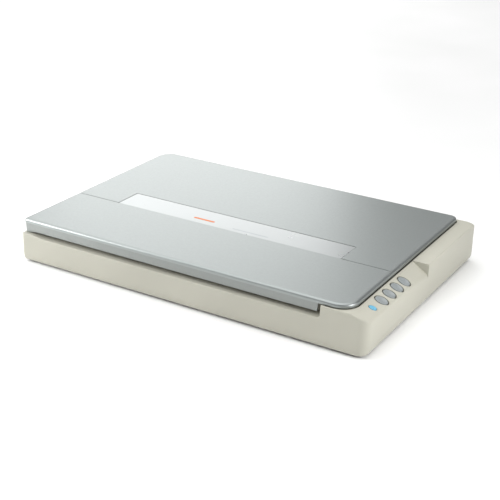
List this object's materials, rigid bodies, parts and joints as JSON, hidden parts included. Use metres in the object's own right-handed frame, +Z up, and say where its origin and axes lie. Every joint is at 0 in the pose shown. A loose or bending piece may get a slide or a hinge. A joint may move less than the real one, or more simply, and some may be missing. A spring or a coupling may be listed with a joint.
{
  "type": "flatbed scanner",
  "caption": "Large-format flatbed scanner: ivory housing with a glass bed, thin silver lid on lifting rear hinges, front finger recess and a sloped side panel of oval push buttons.",
  "frame": {"origin": "middle of the footprint, on the surface that the feet stand on", "axes": "+X along the long side towards the button panel, +Y towards the hinges at the back, +Z up"},
  "size_m": [0.589, 0.392, 0.0685],
  "materials": {
    "ivory_plastic": "fine matt moulded",
    "silver_lid": "satin silver-grey metallic paint on plastic",
    "gloss_strip": "smooth gloss silver",
    "white_plastic": "matt",
    "white_foam": "matt white film on foam",
    "black_plastic": "matt",
    "grey_plastic": "matt",
    "button_grey": "satin",
    "power_blue": "satin translucent blue",
    "clear_glass": "clear polished",
    "steel": "bright",
    "rubber": "matt",
    "circuit_board": "solder-masked",
    "nylon_gear": "natural nylon",
    "flat_cable": "smooth film",
    "lens_acrylic": "clear rod lenses"
  },
  "bodies": {
    "base": {"upper_housing": "ivory_plastic", "bottom_tray": "ivory_plastic", "platen_glass": "clear_glass", "left_ruler": "white_plastic", "rear_ruler": "white_plastic", "foot_1": "rubber", "foot_2": "rubber", "foot_3": "rubber", "foot_4": "rubber", "tray_screw_1": "steel", "tray_screw_2": "steel", "tray_screw_3": "steel", "tray_screw_4": "steel", "usb_port": "steel", "power_inlet": "black_plastic", "main_board": "circuit_board", "button_board": "circuit_board", "guide_rod": "steel", "rod_holder_left": "grey_plastic", "rod_holder_right": "grey_plastic", "motor_bracket": "steel", "stepper_motor": "steel", "gear_axle": "steel", "idler_bracket": "grey_plastic", "tension_spring": "steel", "drive_belt": "rubber", "ribbon_cable": "flat_cable"},
    "hinge_posts": {"hinge_post_left": "grey_plastic", "hinge_post_right": "grey_plastic", "hinge_pin_left": "steel", "hinge_pin_right": "steel"},
    "lid": {"lid_shell": "silver_lid", "lid_accent_strip": "gloss_strip", "lid_inner_panel": "white_plastic", "document_pad": "white_foam", "hinge_leaf_left": "grey_plastic", "hinge_leaf_right": "grey_plastic"},
    "carriage": {"carriage": "black_plastic", "cis_housing": "black_plastic", "cis_lens_array": "lens_acrylic", "cis_light_guide": "clear_glass", "rail_slider_front": "nylon_gear", "rail_slider_rear": "nylon_gear", "cis_spring_front": "steel", "cis_spring_rear": "steel"},
    "reduction_gear": {"reduction_gear": "nylon_gear"},
    "motor_pinion": {"motor_pinion": "steel"},
    "idler_pulley": {"idler_pulley": "nylon_gear"},
    "power_button": {"power_button": "power_blue"},
    "function_button_1": {"function_button_1": "button_grey"},
    "function_button_2": {"function_button_2": "button_grey"},
    "function_button_3": {"function_button_3": "button_grey"},
    "function_button_4": {"function_button_4": "button_grey"}
  },
  "joints": [
    {"name": "hinge_lift", "type": "slide", "parent": "base", "child": "hinge_posts", "axis": [0, 0, 1], "range_m": [0, 0.02]},
    {"name": "lid_hinge", "type": "hinge", "parent": "hinge_posts", "child": "lid", "pos_m": [0, 0.1908, 0.0632], "axis": [-1, 0, 0], "range_deg": [0, 90]},
    {"name": "carriage_travel", "type": "slide", "parent": "base", "child": "carriage", "axis": [1, 0, 0], "range_m": [0, 0.448], "deforming": ["ribbon_cable"]},
    {"name": "reduction_gear_spin", "type": "hinge", "parent": "base", "child": "reduction_gear", "pos_m": [0.2115, -0.026, 0.024], "axis": [0, 0, 1], "range_deg": [-3670, 0]},
    {"name": "idler_spin", "type": "hinge", "parent": "base", "child": "idler_pulley", "pos_m": [-0.282, -0.026, 0.024], "axis": [0, 0, 1], "range_deg": [-3670, 0]},
    {"name": "motor_spin", "type": "hinge", "parent": "base", "child": "motor_pinion", "pos_m": [0.22437, -0.03887, 0.03], "axis": [0, 0, 1], "range_deg": [0, 12230]},
    {"name": "function_button_1_press", "type": "slide", "parent": "base", "child": "function_button_1", "axis": [-0.2981, 0, -0.9545], "range_m": [0, 0.0008], "stiffness_N_per_m": 250, "springref_m": -0.0008},
    {"name": "function_button_2_press", "type": "slide", "parent": "base", "child": "function_button_2", "axis": [-0.321, 0, -0.9471], "range_m": [0, 0.0008], "stiffness_N_per_m": 250, "springref_m": -0.0008},
    {"name": "function_button_3_press", "type": "slide", "parent": "base", "child": "function_button_3", "axis": [-0.3473, 0, -0.9378], "range_m": [0, 0.0008], "stiffness_N_per_m": 250, "springref_m": -0.0008},
    {"name": "function_button_4_press", "type": "slide", "parent": "base", "child": "function_button_4", "axis": [-0.3805, 0, -0.9248], "range_m": [0, 0.0008], "stiffness_N_per_m": 250, "springref_m": -0.0008},
    {"name": "power_button_press", "type": "slide", "parent": "base", "child": "power_button", "axis": [-0.2734, 0, -0.9619], "range_m": [0, 0.0008], "stiffness_N_per_m": 250, "springref_m": -0.0008}
  ],
  "couplings": [
    {"joint": "reduction_gear_spin", "follows": "carriage_travel", "rad_per_m": -142.86},
    {"joint": "idler_spin", "follows": "carriage_travel", "rad_per_m": -142.86},
    {"joint": "motor_spin", "follows": "carriage_travel", "rad_per_m": 476.19}
  ]
}
